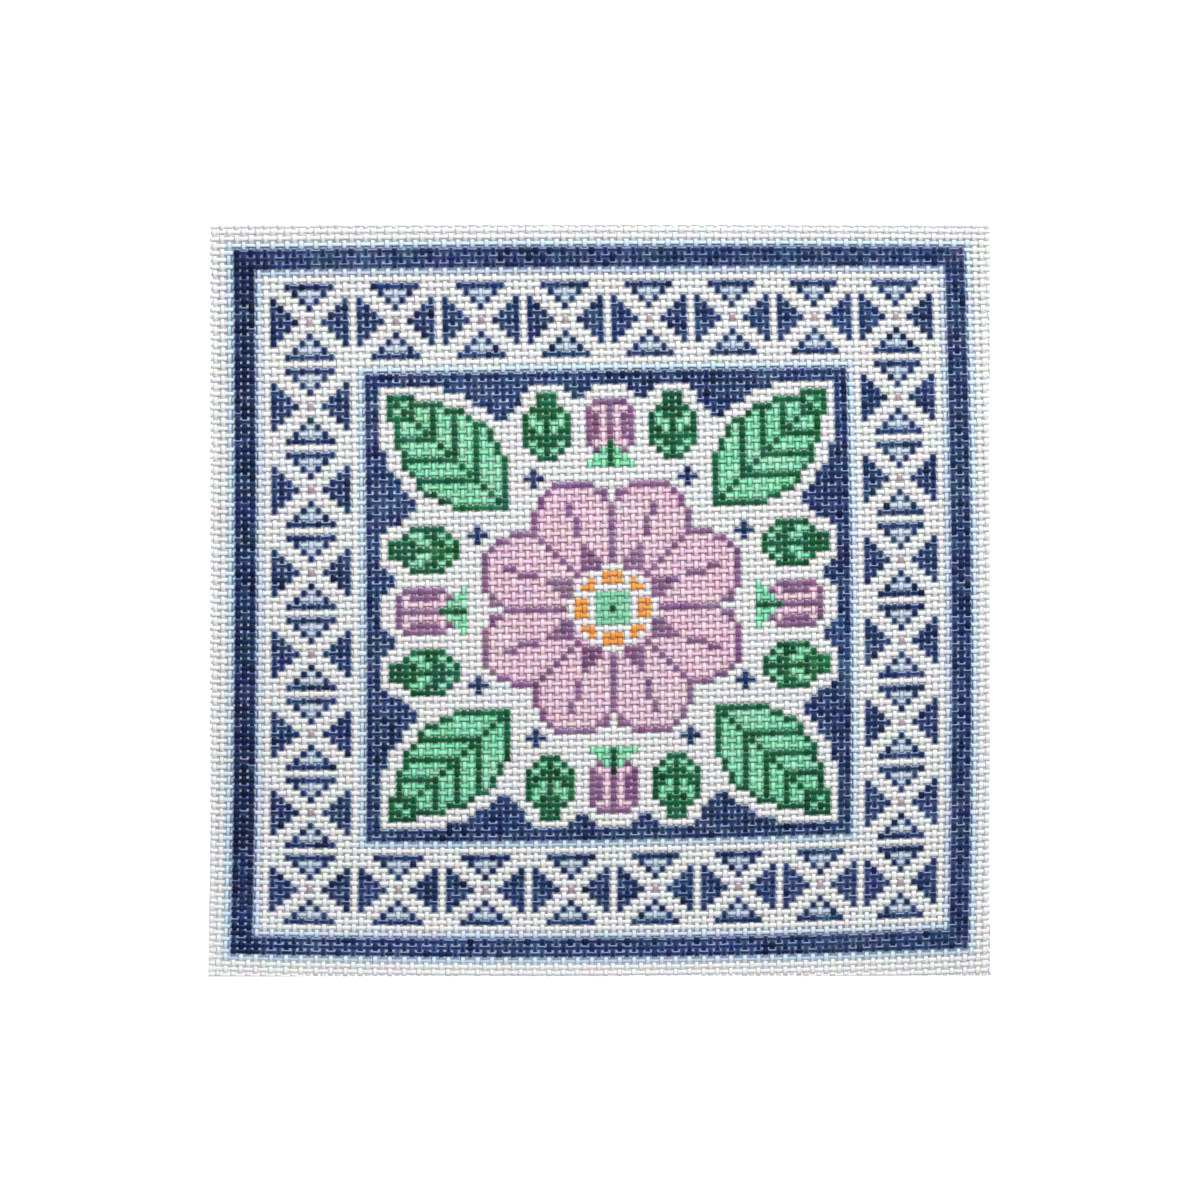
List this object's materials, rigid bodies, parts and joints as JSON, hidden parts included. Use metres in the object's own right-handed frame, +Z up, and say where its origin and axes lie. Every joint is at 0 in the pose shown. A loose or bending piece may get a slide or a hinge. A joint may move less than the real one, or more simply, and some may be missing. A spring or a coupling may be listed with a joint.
{
  "type": "needlepoint canvas panel",
  "caption": "Flat square of stiff white mono canvas for needlepoint, painted with a geometric border round a flower in a dark square, two edges curling a little.",
  "frame": {"origin": "middle of the underside, on the surface that the canvas lies on", "axes": "+Z up out of the painted face, +X to the right of the design along the weft, +Y to its top along the warp"},
  "size_m": [0.2216, 0.213, 0.0067],
  "materials": {
    "canvas": "matte woven cotton, sized and painted"
  },
  "bodies": {
    "root": {"canvas": "canvas"}
  },
  "joints": []
}
